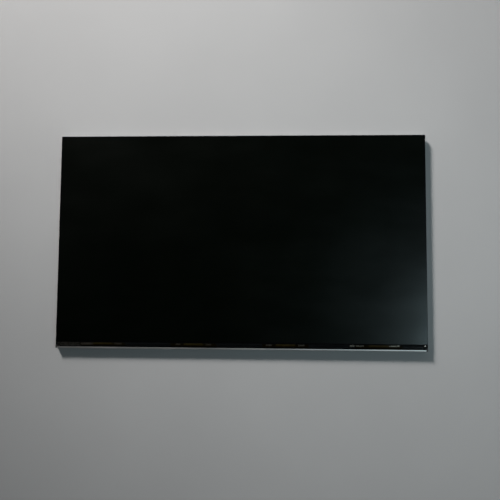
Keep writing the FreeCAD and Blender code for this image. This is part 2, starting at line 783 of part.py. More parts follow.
def rear_cover():
    """Steel tray: floor, four folded walls with open corners, drawn forms, tapped holes and windows."""
    bend = REAR_SHEET + REAR_BEND_RADIUS
    outline = Rect(-half_width, half_width, y_skirt, y_top)
    floor = outline.grown(-bend, -bend, -bend).slab(z_rear_outer, z_rear_inner)
    across = half_width - REAR_SHEET - CORNER_RELIEF
    low, high = y_skirt + REAR_SHEET + CORNER_RELIEF, y_top - REAR_SHEET - CORNER_RELIEF
    walls = [
        tray_wall(y_top, -across, across, 0),
        tray_wall(-y_skirt, -across, across, 180),
        tray_wall(half_width, low, high, 90),
        tray_wall(half_width, -high, -low, -90),
    ]
    tray = pressed(one_solid(floor.fuse(walls)), rear_forms(), REAR_SHEET)
    collars = [
        cylinder(x, y, MOUNT_HOLE_RADIUS + MOUNT_COLLAR_WALL, REAR_SHEET, REAR_SHEET + MOUNT_COLLAR_HEIGHT)
        for x, y in mount_points()
    ]
    holes = [
        cylinder(x, y, MOUNT_HOLE_RADIUS, 0, REAR_SHEET + MOUNT_COLLAR_HEIGHT) for x, y in mount_points()
    ]
    holes += [
        cylinder(x, y, SCREW_SHANK_RADIUS + SCREW_FIT, z_board_front, z_rear_inner)
        for x, y in board_screw_points() + cover_screw_points()
    ]
    windows = [hook(p, REAR_SHEET, HOOK_CLEARANCE) for p in hook_places()]
    return one_solid(tray.fuse(collars).cut(holes + windows + [flex_slot(z_rear_outer, z_rear_inner)]))


# Driver board and what is on it


def board_outline(z0, z1):
    """Long bar under the driver films, with a wide tab in the middle."""
    corners = [
        (-board_half, y_board),
        (board_half, y_board),
        (board_half, y_bar_top),
        (tab_half, y_bar_top),
        (tab_half, y_tab_top),
        (-tab_half, y_tab_top),
        (-tab_half, y_bar_top),
        (-board_half, y_bar_top),
    ]
    return prism(corners, z0, z1)


def board_notch(z0, z1):
    """Cut in the board's lower edge, through which the light bar's tail passes."""
    half = FLEX_WIDTH / 2 + FLEX_SLOT_MARGIN
    return block(x_flex - half, x_flex + half, y_board, y_flex + FLEX_SLOT_MARGIN, z0, z1)


def driver_board():
    plate = board_outline(z_board_rear, z_board_front)
    upright = [e for e in plate.Edges if abs(e.tangentAt(e.FirstParameter).z) > 0.99]
    plate = plate.makeFillet(BOARD_CORNER, upright)
    holes = [cylinder(x, y, SCREW_PASS_RADIUS, z_board_rear, z_board_front) for x, y in board_screw_points()]
    return plate.cut(holes + [board_notch(z_board_rear, z_board_front)])


def board_insulator():
    """Sheet stuck on the rear cover's back, behind the board, cut out round the screw dimples."""
    z0 = z_rear_outer - INSULATOR_THICKNESS
    foot = DIMPLE_RADIUS + BOARD_STANDOFF * DIMPLE_SLOPE + CHIP_CLEARANCE
    holes = [cylinder(x, y, foot, z0, z_rear_outer) for x, y in board_screw_points() + cover_screw_points()]
    return board_outline(z0, z_rear_outer).cut(holes + [board_notch(z0, z_rear_outer)])


def socket_contacts(x, y_mouth, depth, height, row, pitch):
    """Row of contacts: a blade in the socket's mouth, through its back and down to a tail on the board."""
    y_back = y_mouth - depth
    z_blade = z_board_rear - height / 2
    z_tail = z_board_rear - CONTACT_SHEET / 2
    y_drop = y_back - CONTACT_SHEET
    path = [
        (y_mouth - CONTACT_SETBACK, z_blade),
        (y_drop, z_blade),
        (y_drop, z_tail),
        (y_drop - CONTACT_TAIL, z_tail),
    ]
    contacts = []
    for place in spread(round(row / pitch), pitch):
        x0 = x + place - CONTACT_WIDTH / 2
        contacts.append(folded_sheet(path, CONTACT_SHEET, CONTACT_BEND_RADIUS, x0, x0 + CONTACT_WIDTH))
    return contacts


def socket_housing(x, y_mouth, depth, height, row, pitch):
    """Moulded housing with one wide mouth and a slit in its back for every contact."""
    half, mouth = row / 2 + SOCKET_CHEEK, row / 2
    z_rear = z_board_rear - height
    body = block(x - half, x + half, y_mouth - depth, y_mouth, z_rear, z_board_rear)
    hollow = block(
        x - mouth,
        x + mouth,
        y_mouth - depth + SOCKET_BACK,
        y_mouth,
        z_rear + SOCKET_WALL,
        z_board_rear - SOCKET_WALL,
    )
    return body.cut([hollow] + socket_contacts(x, y_mouth, depth, height, row, pitch))


video_seat = (
    VIDEO_PLACE,
    y_tab_top + SOCKET_OVERHANG,
    VIDEO_DEPTH,
    VIDEO_HEIGHT - SHELL_SHEET,
    VIDEO_ROW,
    VIDEO_PITCH,
)
backlight_seat = (
    1.5 * ARM_SCREW_PITCH - x_arm_screw,
    y_bar_top + SOCKET_OVERHANG,
    BACKLIGHT_DEPTH,
    BACKLIGHT_HEIGHT,
    BACKLIGHT_ROW,
    BACKLIGHT_PITCH,
)


def video_socket_shell():
    """Metal shell over the video socket's back and both its ends."""
    x, y_mouth, depth, height, row, _ = video_seat
    half = row / 2 + SOCKET_CHEEK
    outer = half + SHELL_SHEET
    z_rear = z_board_rear - height
    shell = block(x - outer, x + outer, y_mouth - depth, y_mouth, z_rear - SHELL_SHEET, z_board_rear)
    return shell.cut(block(x - half, x + half, y_mouth - depth, y_mouth, z_rear, z_board_rear))


def chip(place, size):
    """Package on the board's back, with its outer edges broken."""
    z0 = z_board_rear - size[2]
    body = centred_block(*on_board(place), size, z0, z_board_rear)
    rim = [e for e in body.Edges if all(abs(v.Z - z0) < 1e-6 for v in e.Vertexes)]
    return body.makeChamfer(CHIP_EDGE, rim)


def inductor(x, y):
    body = centred_block(x, y, INDUCTOR_SIZE, z_board_rear - INDUCTOR_SIZE[2], z_board_rear)
    upright = [e for e in body.Edges if abs(e.tangentAt(e.FirstParameter).z) > 0.99]
    return body.makeFillet(INDUCTOR_CORNER, upright)


def on_board(place):
    return place[0], y_board + place[1]


def power_inductors():
    """Three inductors about the power chip."""
    x, y = on_board(POWER_CHIP_PLACE)
    beside = (POWER_CHIP_SIZE[0] + INDUCTOR_SIZE[0]) / 2 + INDUCTOR_GAP
    above = (POWER_CHIP_SIZE[1] + INDUCTOR_SIZE[1]) / 2 + INDUCTOR_GAP
    return group([inductor(x - beside, y), inductor(x + beside, y), inductor(x, y + above)])


def row_of(size, place, length, pitch):
    """Straight row of small parts on the board's back."""
    x, y = on_board(place)
    z0 = z_board_rear - size[2]
    return [centred_block(x + p, y, size, z0, z_board_rear) for p in spread(round(length / pitch), pitch)]


def chip_capacitors():
    """Rows of capacitors: behind each driver film, and on both sides of the timing controller."""
    rows = []
    for x in film_centres():
        rows += row_of(CAPACITOR_SIZE, (x, CAPACITOR_LINE), CAPACITOR_ROW, CAPACITOR_PITCH)
    x, line_up = CONTROLLER_PLACE
    reach = (CONTROLLER_SIZE[1] + CAPACITOR_SIZE[1]) / 2 + CAPACITOR_GAP
    for side in (-1, 1):
        rows += row_of(CAPACITOR_SIZE, (x, line_up + side * reach), CONTROLLER_SIZE[0], CAPACITOR_PITCH)
    return group(rows)


def chip_resistors():
    """Rows of resistors: beside the capacitors of each driver film, and behind the video socket."""
    rows = []
    for x in film_centres():
        rows += row_of(RESISTOR_SIZE, (x, RESISTOR_LINE), RESISTOR_ROW, RESISTOR_PITCH)
    socket_back = y_tab_top + SOCKET_OVERHANG - VIDEO_DEPTH - CONTACT_TAIL - y_board
    place = (VIDEO_PLACE, socket_back - VIDEO_RESISTOR_GAP)
    return group(rows + row_of(RESISTOR_SIZE, place, VIDEO_RESISTOR_ROW, RESISTOR_PITCH))


def gasket_places():
    return spread(FILM_COUNT - 1, film_pitch)


def cover_gaskets():
    """Conductive foam blocks that ground the bottom cover on the board."""
    size = (GASKET_LENGTH, GASKET_WIDTH)
    y = y_board + GASKET_LINE
    return group([centred_block(x, y, size, z_cover_inner, z_board_rear) for x in gasket_places()])


# Bottom cover


def cover_section(y_wall, x0, x1):
    """Stretch of the cover: front lip, bottom wall, flange behind the board, inner wall and screw foot."""
    half = COVER_SHEET / 2
    z_lip = z_tft_front - half
    z_foot = z_board_front - half
    y_outer = y_bottom + half
    path = [
        (y_bottom + LIP_DEPTH, z_lip),
        (y_outer, z_lip),
        (y_outer, half),
        (y_wall + half, half),
        (y_wall + half, z_foot),
        (y_wall + FOOT_LENGTH, z_foot),
    ]
    return folded_sheet(path, COVER_SHEET, COVER_BEND_RADIUS, x0, x1)


def cover_step(side):
    """Wall that closes the cover where it widens, from the arm's inner wall to the tab's."""
    x0, x1 = sorted((side * tab_cover_half, side * (tab_cover_half - COVER_SHEET)))
    return block(x0, x1, y_arm_wall, y_tab_wall + COVER_SHEET, 0, z_board_front)


def cover_beads():
    """Stiffening beads in the cover's two arms, pressed inwards, from the outer gaskets to the ends."""
    y = y_board + ARM_BEAD_LINE
    crown = z_cover_inner + ARM_BEAD_DEPTH
    shrink = 2 * ARM_BEAD_DEPTH
    start = max(gasket_places()) + GASKET_LENGTH / 2 + ARM_BEAD_GAP
    end = cover_half - ARM_BEAD_END_INSET
    beads = []
    for x in mirrored([(start + end) / 2]):
        base = slot_outline(x, y, end - start, ARM_BEAD_WIDTH, z_cover_inner)
        top = slot_outline(x, y, end - start - shrink, ARM_BEAD_WIDTH - shrink, crown)
        beads.append(Part.makeLoft([base, top], True))
    return beads


def socket_cutout(seat):
    """Notch in the cover that leaves a socket's back and mouth free."""
    x, y_mouth, depth, _, row, _ = seat
    half = row / 2 + SOCKET_CHEEK + CUTOUT_MARGIN
    y0 = y_mouth - depth - CONTACT_TAIL - CUTOUT_MARGIN
    return block(x - half, x + half, y0, y_mouth + BOARD_TO_COVER + FOOT_LENGTH, 0, z_board_front)


def cover_vents():
    """Row of slots behind the timing controller."""
    x, y = on_board(CONTROLLER_PLACE)
    vents = []
    for place in spread(VENT_COUNT, VENT_PITCH):
        slot = Part.Face(slot_outline(x + place, y, VENT_LENGTH, VENT_WIDTH, 0, True))
        vents.append(slot.extrude(Vector(0, 0, COVER_SHEET)))
    return vents


def bottom_cover():
    """Bright folded cover along the bottom edge, wide in the middle where the board is wide."""
    tab = cover_section(y_tab_wall, -tab_cover_half, tab_cover_half)
    arms = [
        cover_section(y_arm_wall, -cover_half, -tab_cover_half),
        cover_section(y_arm_wall, tab_cover_half, cover_half),
    ]
    sheet = one_solid(tab.fuse(arms + [cover_step(-1), cover_step(1)]))
    sheet = pressed(sheet, cover_beads(), -COVER_SHEET)
    z_foot = z_board_front - COVER_SHEET
    cuts = [cylinder(x, y, SCREW_PASS_RADIUS, z_foot, z_board_front) for x, y in cover_screw_points()]
    cuts += cover_vents() + [socket_cutout(video_seat), socket_cutout(backlight_seat)]
    return one_solid(sheet.cut(cuts))


def cover_liner():
    """Black sheet stuck in the cover's front fold, below the driver films."""
    half = LINER_SHEET / 2
    y_wall = y_bottom + COVER_SHEET + half
    z_floor = z_cover_inner + half
    z_top = z_tft_front - COVER_SHEET - LINER_TO_LIP
    path = [(y_wall, z_top), (y_wall, z_floor), (y_wall + LINER_DEPTH, z_floor)]
    return folded_sheet(path, LINER_SHEET, COVER_BEND_RADIUS - LINER_SHEET, -cover_half, cover_half)


def pieces():
    """Every piece of the module by its node's name."""
    made = {
        "front_polarizer": front_polarizer(),
        "color_filter_glass": color_filter_glass(),
        "tft_glass": tft_glass(),
        "rear_polarizer": rear_polarizer(),
        "ground_dot_left": ground_dot(-1),
        "ground_dot_right": ground_dot(1),
        "mid_frame": mid_frame(),
        "upper_diffuser": guide.slab(z_prism_front, z_upper_front),
        "prism_sheet": guide.slab(z_lower_front, z_prism_front),
        "lower_diffuser": guide.slab(z_guide_front, z_lower_front),
        "light_guide": guide_layer(z_guide_rear, z_guide_front),
        "reflector": guide_layer(z_rear_inner, z_guide_rear),
        "light_guide_stop_left": guide_stop(-1),
        "light_guide_stop_right": guide_stop(1),
        "light_guide_pad_left": guide_pad(-1),
        "light_guide_pad_right": guide_pad(1),
        "led_board": led_board(),
        "led_packages": led_packages(),
        "led_thermal_tape": led_thermal_tape(),
        "led_flex": led_flex(),
        "led_flex_socket": led_flex_socket(),
        "rear_cover": rear_cover(),
        "bottom_cover": bottom_cover(),
        "cover_liner": cover_liner(),
        "driver_board": driver_board(),
        "board_insulator": board_insulator(),
        "video_socket_housing": socket_housing(*video_seat),
        "video_socket_shell": video_socket_shell(),
        "video_socket_contacts": group(socket_contacts(*video_seat)),
        "backlight_socket_housing": socket_housing(*backlight_seat),
        "backlight_socket_pins": group(socket_contacts(*backlight_seat)),
        "timing_controller": chip(CONTROLLER_PLACE, CONTROLLER_SIZE),
        "power_chip": chip(POWER_CHIP_PLACE, POWER_CHIP_SIZE),
        "gamma_chip": chip(GAMMA_CHIP_PLACE, GAMMA_CHIP_SIZE),
        "memory_chip": chip(MEMORY_CHIP_PLACE, MEMORY_CHIP_SIZE),
        "power_inductors": power_inductors(),
        "chip_capacitors": chip_capacitors(),
        "chip_resistors": chip_resistors(),
        "cover_gaskets": cover_gaskets(),
        "board_screws": board_screws(),
        "cover_screws": cover_screws(),
    }
    made.update(cell_tapes())
    for number, x in enumerate(film_centres(), 1):
        made[f"cof_film_{number}"] = driver_film(x)
        made[f"driver_chip_{number}"] = driver_chip(x)
    return made


os.makedirs("parts", exist_ok=True)
for name, shape in pieces().items():
    shape.exportStep(f"parts/{name}.step")
    print(name, len(shape.Solids), shape.isValid(), round(shape.Volume, 2))
print("outline", round(2 * half_width, 2), round(outline_height, 2), round(z_front, 2))
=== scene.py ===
import json
import math

import bmesh
import bpy
from mathutils import Matrix, Vector


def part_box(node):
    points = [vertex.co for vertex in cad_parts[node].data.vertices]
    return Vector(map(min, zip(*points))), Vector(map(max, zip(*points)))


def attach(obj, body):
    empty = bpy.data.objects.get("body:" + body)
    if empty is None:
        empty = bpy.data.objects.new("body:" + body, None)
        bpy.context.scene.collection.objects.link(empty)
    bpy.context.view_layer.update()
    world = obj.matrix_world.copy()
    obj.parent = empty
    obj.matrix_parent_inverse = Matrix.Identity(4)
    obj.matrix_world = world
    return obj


# Looks of the liquid-crystal display module, lying on its back on a pale floor.
# Lengths are in metres. +X is the picture's right, +Y its top and +Z its front.

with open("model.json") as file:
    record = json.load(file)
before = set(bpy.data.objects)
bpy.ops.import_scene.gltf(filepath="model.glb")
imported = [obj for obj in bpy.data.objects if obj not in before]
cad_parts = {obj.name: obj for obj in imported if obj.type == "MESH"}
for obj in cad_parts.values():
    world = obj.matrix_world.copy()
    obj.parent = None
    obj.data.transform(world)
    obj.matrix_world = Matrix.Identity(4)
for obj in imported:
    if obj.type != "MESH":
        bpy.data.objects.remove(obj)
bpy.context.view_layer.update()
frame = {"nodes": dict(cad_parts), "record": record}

MM = 0.001
MICRON = 0.000001

# Lines of the solids that the detail pieces and the finishes follow
ledge_low, ledge_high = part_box("tft_glass")
filter_low, filter_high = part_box("color_filter_glass")
front_low, front_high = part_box("front_polarizer")
film_boxes = [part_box(f"cof_film_{number}") for number in (1, 2, 3, 4)]
film_middles = [(low.x + high.x) / 2 for low, high in film_boxes]
dot_low, dot_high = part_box("ground_dot_left")

# The black border's width round the picture, inside the front film's edges, and how softly it ends
BORDER_SIDE = 2.3 * MM
BORDER_TAIL = 1.7 * MM
BORDER_FADE = 0.12 * MM

# Wiped gloss of the front film: features a metre along each axis
WIPES = (9.0, 28.0, 1.0)

# Leads of the driver films, bonded to the glass. For each film, the bare bands: their start and end
# from the film's middle, the leads' length and the leads' width, in millimetres.
LEAD_THICKNESS = 0.012 * MM
LEAD_SINK = 0.003 * MM
LEAD_START = 0.3 * MM
LEAD_MARGIN = 0.6 * MM
LEAD_PITCH = 0.46 * MM
LEAD_BANDS = (
    ((-32.0, -14.5, 3.0, 0.45), (17.0, 28.0, 2.3, 0.37)),
    ((-25.5, -19.0, 2.2, 0.30), (17.5, 25.5, 2.3, 0.35)),
    ((-28.0, -19.5, 2.3, 0.30), (18.0, 27.5, 2.3, 0.26)),
    ((-32.4, -20.5, 2.0, 0.18), (14.0, 29.4, 1.7, 0.22)),
)

# Bare leads on the glass beside the last film: their start and end from its middle, length and width
BARE_START = -40.8 * MM
BARE_END = -33.6 * MM
BARE_LENGTH = 2.0 * MM
BARE_WIDTH = 0.38 * MM

# Where the films' resist begins, below their end and to both sides of their amber middle, and how softly
COAT_LINE = 2.4 * MM
COAT_FADE = 0.7 * MM
AMBER_HALF = 13.6 * MM

# Tones on the amber films: the resist's as a share of the dark amber, the copper's of the light amber
RESIST_TONE = 0.35
COPPER_TONE = 1.5

# Metal on the glass ledge, and the slope from which a run's ends are cut along X
FOIL = 0.008 * MM
RUN_SLOPE = 0.2
FAN_COUNT = 64
FAN_SPREAD = 1.6 * MM
FAN_WIDTH = 0.16 * MM
BUS_LINES = ((0.95 * MM, 0.45 * MM), (1.65 * MM, 0.2 * MM))
BUS_GAP = 2.4 * MM
PAD_PITCH = 2.2 * MM
PAD_SIZE = 0.6 * MM
PAD_END = 9.0 * MM
PAD_LINE = 2.7 * MM
MARK_SIZE = 0.9 * MM
MARK_WIDTH = 0.14 * MM
MARK_GAP = 9.2 * MM
MARK_LINE = 2.4 * MM

# Tape over the ledge's left end: how steeply it falls away from the paste dot that it covers, and its
# steps over the glass's edge, each how far out and how far down
TAPE_INSET = 2.2 * MM
TAPE_GAP = 0.8 * MM
TAPE_TOP = 0.35 * MM
TAPE_THICKNESS = 0.05 * MM
TAPE_STEP = 0.4 * MM
TAPE_OVER_DOT = 0.04 * MM
TAPE_FALL = 0.57
TAPE_FOLD = ((0.1 * MM, 0.0), (0.5 * MM, 0.12 * MM), (0.95 * MM, 0.5 * MM))

# Resin bead along the upper glass's lower edge. Each of its swells is a share of its size, the turn from
# one step to the next and the turn at its start.
BEAD_WIDTH = 0.5 * MM
BEAD_HEIGHT = 0.26 * MM
BEAD_END = 6.6 * MM
BEAD_STEP = 3.0 * MM
BEAD_SIDES = 6
BEAD_TUCK = 0.02 * MM
BEAD_SINK = 0.01 * MM
BEAD_TAPER = 0.35
BEAD_SWELLS = ((0.10, 0.83, 0.0), (0.07, 2.17, 1.0))

# Sheet metal: features a metre along its rolling lines, the lines' share of its tone, and its scratches
ROLL_ALONG = 12.0
ROLL_SHARE = 0.4
SCRATCH_CELLS = (9.0, 31.0, 31.0)
SCRATCH_WIDTH = 0.0012
SCRATCH_SHARE = 0.25

# Length of one band of the wave pattern at a scale of 1
WAVE_LENGTH = math.pi / 10

# Floor: half its side, its drop below the part, and its tones
FLOOR_HALF = 5.0
FLOOR_DROP = 0.05 * MM
FLOOR_TONES = (0.345, 0.365)

# Room light: strengths of the walls and the ceiling, the side where the walls are pale, what the dark
# walls keep, and the colour
ROOM_WALL = 0.85
ROOM_CEILING = 0.002
ROOM_PALE_SIDE = (0.8, 0.6, 0.0)
ROOM_DARK_SHARE = 0.03
ROOM_COLOUR = (0.95, 1.0, 1.03)

# Camera, from the photograph's four corners of the black front
CAMERA_PLACE = Vector((66.6, -97.9, 1007.6)) * MM
CAMERA_AIM = Vector((14.3, -12.63, 10.0)) * MM
CAMERA_ROLL = math.radians(0.452)
CAMERA_LENS = 50.0
CAMERA_SENSOR = 36.0
CAMERA_NEAR = 10.0 * MM

# The shader's sockets that the finishes set
SOCKETS = {
    "colour": "Base Color",
    "metal": "Metallic",
    "rough": "Roughness",
    "specular": "Specular IOR Level",
    "normal": "Normal",
}


def rgb(*tone):
    """A colour from one grey level or three channels."""
    return (*(tone * 3 if len(tone) == 1 else tone), 1.0)


class Finish:
    """One procedural material. Its patterns lie on the part's own axes, in metres."""

    def __init__(self, name, **constants):
        self.material = bpy.data.materials.new(name)
        self.material.use_nodes = True
        self.nodes = self.material.node_tree.nodes
        self.links = self.material.node_tree.links
        self.nodes.clear()
        self.shader = self.nodes.new("ShaderNodeBsdfPrincipled")
        surface = self.nodes.new("ShaderNodeOutputMaterial")
        self.links.new(self.shader.outputs["BSDF"], surface.inputs["Surface"])
        self.place = self.nodes.new("ShaderNodeTexCoord").outputs["Object"]
        self.give(**constants)

    def give(self, **values):
        """Sets the shader's own sockets, each to a constant or to a pattern."""
        for name, value in values.items():
            self.put(self.shader.inputs[SOCKETS[name]], value)

    def put(self, socket, value):
        """Links a pattern to a socket, or sets a constant on it."""
        if isinstance(value, bpy.types.NodeSocket):
            self.links.new(value, socket)
        else:
            socket.default_value = value

    def add(self, kind, values, **settings):
        """A new node with its settings and its inputs' values."""
        node = self.nodes.new(kind)
        for key, value in settings.items():
            setattr(node, key, value)
        for socket, value in values.items():
            self.put(node.inputs[socket], value)
        return node

    def stretched(self, x, y, z):
        """The place, multiplied along each axis."""
        return self.add("ShaderNodeMapping", {"Vector": self.place, "Scale": (x, y, z)}).outputs[0]

    def noise(self, size, detail=2.0, vector=None):
        """Soft noise with lumps of about this size."""
        values = {"Vector": vector or self.place, "Scale": 1 / size, "Detail": detail}
        return self.add("ShaderNodeTexNoise", values).outputs[0]

    def cells(self, size, feature="F1", vector=None):
        """Distance pattern of cells of about this size."""
        values = {"Vector": vector or self.place, "Scale": 1 / size}
        return self.add("ShaderNodeTexVoronoi", values, feature=feature).outputs["Distance"]

    def waves(self, pitch, direction):
        """Straight bands across one axis, from 0 to 1, one in each pitch."""
        values = {"Vector": self.place, "Scale": WAVE_LENGTH / pitch, "Distortion": 0.0}
        node = self.add("ShaderNodeTexWave", values, wave_type="BANDS", bands_direction=direction)
        return node.outputs["Fac"]

    def span(self, value, low, high, start=0.3, end=0.7):
        """Maps a pattern's start and end to low and high."""
        values = {"Value": value, "From Min": start, "From Max": end, "To Min": low, "To Max": high}
        return self.add("ShaderNodeMapRange", values).outputs[0]

    def ramp(self, value, *stops):
        """Colours along a pattern, each stop a place and a colour."""
        node = self.add("ShaderNodeValToRGB", {"Fac": value})
        elements = node.color_ramp.elements
        while len(elements) < len(stops):
            elements.new(0.5)
        for element, (place, colour) in zip(elements, stops):
            element.position = place
            element.color = colour
        return node.outputs["Color"]

    def maths(self, operation, a, b=0.0):
        """One step of arithmetic on patterns or numbers."""
        return self.add("ShaderNodeMath", {0: a, 1: b}, operation=operation).outputs[0]

    def layered(self, share, under, over):
        """Colour over another by a share."""
        values = {"Fac": share, "Color1": under, "Color2": over}
        return self.add("ShaderNodeMixRGB", values).outputs[0]

    def axes(self):
        """The place along X, Y and Z."""
        return self.add("ShaderNodeSeparateXYZ", {0: self.place}).outputs

    def facing_front(self):
        """1 on faces that look along +Z, 0 on the sheet's edges."""
        normal = self.nodes.new("ShaderNodeNewGeometry").outputs["Normal"]
        return self.maths("GREATER_THAN", self.add("ShaderNodeSeparateXYZ", {0: normal}).outputs[2], 0.5)

    def relief(self, height, depth):
        """Surface relief of a pattern, depth metres from 0 to 1."""
        values = {"Height": height, "Distance": depth, "Strength": 1.0}
        return self.add("ShaderNodeBump", values).outputs["Normal"]


def moulded(name, dark, light, rough, grain, depth, cloud=30.0 * MM, **constants):
    """Plastic, rubber or coated face: clouded tone, grain relief and uneven gloss."""
    finish = Finish(name, **constants)
    tone = finish.noise(cloud, 4.0)
    fine = finish.noise(grain, 3.0)
    finish.give(
        colour=finish.ramp(tone, (0.32, dark), (0.68, light)),
        rough=finish.span(finish.maths("ADD", tone, fine), *rough, 0.7, 1.3),
        normal=finish.relief(fine, depth),
    )
    return finish.material


def rolled_metal(name, dark, light, rough, line_width, depth, cloud=80.0 * MM, across="Y"):
    """Sheet metal: fine rolling lines, dull clouds and thin handling scratches."""
    finish = Finish(name, metal=1.0)
    fine = 1 / line_width
    stretch = (ROLL_ALONG, fine, fine) if across == "Y" else (fine, ROLL_ALONG, ROLL_ALONG)
    lines = finish.noise(1.0, 3.0, finish.stretched(*stretch))
    clouds = finish.noise(cloud, 5.0)
    scratch = finish.cells(1.0, "DISTANCE_TO_EDGE", finish.stretched(*SCRATCH_CELLS))
    scratched = finish.maths("LESS_THAN", scratch, SCRATCH_WIDTH)
    rolled = finish.maths("MULTIPLY", lines, ROLL_SHARE)
    dulled = finish.maths("MULTIPLY", clouds, 1 - ROLL_SHARE)
    tone = finish.ramp(finish.maths("ADD", rolled, dulled), (0.36, dark), (0.64, light))
    finish.give(
        colour=finish.layered(finish.maths("MULTIPLY", scratched, SCRATCH_SHARE), tone, light),
        rough=finish.span(clouds, *rough),
        normal=finish.relief(lines, depth),
    )
    return finish.material


def polarizer_film():
    """Black anti-glare film: the picture a shade lighter than its border, faint haze and wiped gloss."""
    finish = Finish("polarizer_film", specular=0.5)
    x, y, _ = finish.axes()
    side = front_high.x - BORDER_SIDE
    head = front_high.y - BORDER_SIDE
    tail = front_low.y + BORDER_TAIL
    across = finish.maths("ABSOLUTE", x)
    within_sides = finish.span(across, 1.0, 0.0, side - BORDER_FADE, side + BORDER_FADE)
    above_tail = finish.span(y, 0.0, 1.0, tail - BORDER_FADE, tail + BORDER_FADE)
    below_head = finish.span(y, 1.0, 0.0, head - BORDER_FADE, head + BORDER_FADE)
    inside = finish.maths("MULTIPLY", within_sides, finish.maths("MULTIPLY", above_tail, below_head))
    haze = finish.noise(110.0 * MM, 4.0)
    picture = finish.ramp(haze, (0.3, rgb(0.0001, 0.0006, 0.0001)), (0.7, rgb(0.0002, 0.0008, 0.0002)))
    face = finish.layered(inside, rgb(0.0001, 0.0002, 0.0002), picture)
    wipes = finish.noise(1.0, 3.0, finish.stretched(*WIPES))
    finish.give(
        colour=finish.layered(finish.facing_front(), rgb(0.02, 0.021, 0.022), face),
        rough=finish.span(finish.maths("ADD", wipes, haze), 0.190, 0.220, 0.75, 1.25),
        normal=finish.relief(finish.noise(0.35 * MM, 2.0), 0.8 * MICRON),
    )
    return finish.material


def cell_glass():
    """Thin dark glass with ground, pale green edges."""
    finish = Finish("cell_glass", specular=0.3)
    front = finish.facing_front()
    clouds = finish.noise(20.0 * MM, 3.0)
    face = finish.ramp(clouds, (0.3, rgb(0.0023, 0.0028, 0.0031)), (0.7, rgb(0.0040, 0.0045, 0.0048)))
    ground = finish.noise(0.18 * MM, 3.0)
    edge = finish.ramp(ground, (0.35, rgb(0.030, 0.040, 0.038)), (0.65, rgb(0.075, 0.095, 0.09)))
    ground_edge = finish.maths("MULTIPLY", ground, finish.maths("SUBTRACT", 1.0, front))
    finish.give(
        colour=finish.layered(front, edge, face),
        rough=finish.span(front, 0.38, 0.08, 0.0, 1.0),
        normal=finish.relief(ground_edge, 12 * MICRON),
    )
    return finish.material


def amber_film(name, dark, light, rough, pitch, coated=False):
    """Polyimide film with fine copper lines under its surface, darker where its resist coats it."""
    finish = Finish(name, specular=0.5)
    clouds = finish.noise(6.0 * MM, 4.0)
    lines = finish.waves(pitch, "X")
    base = finish.ramp(clouds, (0.3, dark), (0.7, light))
    copper = rgb(*(min(1.0, COPPER_TONE * channel) for channel in light[:3]))
    amber = finish.layered(finish.span(lines, 0.0, 0.6, 0.55, 0.8), base, copper)
    if coated:
        x, y, _ = finish.axes()
        line = film_boxes[0][1].y - COAT_LINE
        below = finish.span(y, 1.0, 0.0, line - COAT_FADE, line + COAT_FADE)
        half_pitch = (film_middles[1] - film_middles[0]) / 2
        away = finish.maths("PINGPONG", finish.maths("SUBTRACT", x, film_middles[0]), half_pitch)
        beside = finish.span(away, 0.0, 1.0, AMBER_HALF - COAT_FADE, AMBER_HALF + COAT_FADE)
        coat = finish.maths("MAXIMUM", below, beside)
        resist = rgb(*(RESIST_TONE * channel for channel in dark[:3]))
        amber = finish.layered(coat, amber, resist)
        finish.give(specular=finish.span(coat, 0.5, 0.1, 0.0, 1.0))
    finish.give(
        colour=amber,
        rough=finish.span(clouds, *rough),
        normal=finish.relief(lines, 2 * MICRON),
    )
    return finish.material


def solder_mask():
    """Green board with copper runs under the mask and a slightly uneven gloss."""
    finish = Finish("board_green", specular=0.5)
    runs = finish.cells(2.4 * MM, "DISTANCE_TO_EDGE", finish.stretched(1.0, 2.2, 1.0))
    track = finish.span(runs, 1.0, 0.0, 0.05, 0.09)
    clouds = finish.noise(20.0 * MM, 3.0)
    bare = finish.ramp(clouds, (0.3, rgb(0.006, 0.060, 0.026)), (0.7, rgb(0.010, 0.080, 0.034)))
    finish.give(
        colour=finish.layered(track, bare, rgb(0.028, 0.160, 0.070)),
        rough=finish.span(clouds, 0.26, 0.36),
        normal=finish.relief(track, 25 * MICRON),
    )
    return finish.material


def foam():
    """Open black foam."""
    finish = Finish("guide_foam", specular=0.3)
    pores = finish.cells(0.35 * MM)
    finish.give(
        colour=finish.ramp(pores, (0.1, rgb(0.012)), (0.7, rgb(0.05))),
        rough=finish.span(pores, 0.95, 0.8, 0.1, 0.7),
        normal=finish.relief(pores, 80 * MICRON),
    )
    return finish.material


def dotted_guide():
    """Clear guide plate with its printed dots."""
    finish = Finish("light_guide_acrylic", specular=0.5)
    dots = finish.cells(1.4 * MM)
    dot = finish.span(dots, 1.0, 0.0, 0.22, 0.30)
    finish.give(
        colour=finish.layered(dot, rgb(0.70, 0.75, 0.77), rgb(0.90, 0.91, 0.92)),
        rough=finish.span(dot, 0.06, 0.5, 0.0, 1.0),
        normal=finish.relief(dot, 10 * MICRON),
    )
    return finish.material


def woven_metal():
    """Metal-coated cloth over a soft core."""
    finish = Finish("gasket_cloth", metal=0.7)
    weave = finish.maths("MAXIMUM", finish.waves(0.32 * MM, "X"), finish.waves(0.32 * MM, "Y"))
    dull = finish.noise(4.0 * MM, 3.0)
    finish.give(
        colour=finish.ramp(weave, (0.4, rgb(0.16)), (0.9, rgb(0.46, 0.46, 0.45))),
        rough=finish.span(dull, 0.42, 0.6),
        normal=finish.relief(weave, 50 * MICRON),
    )
    return finish.material


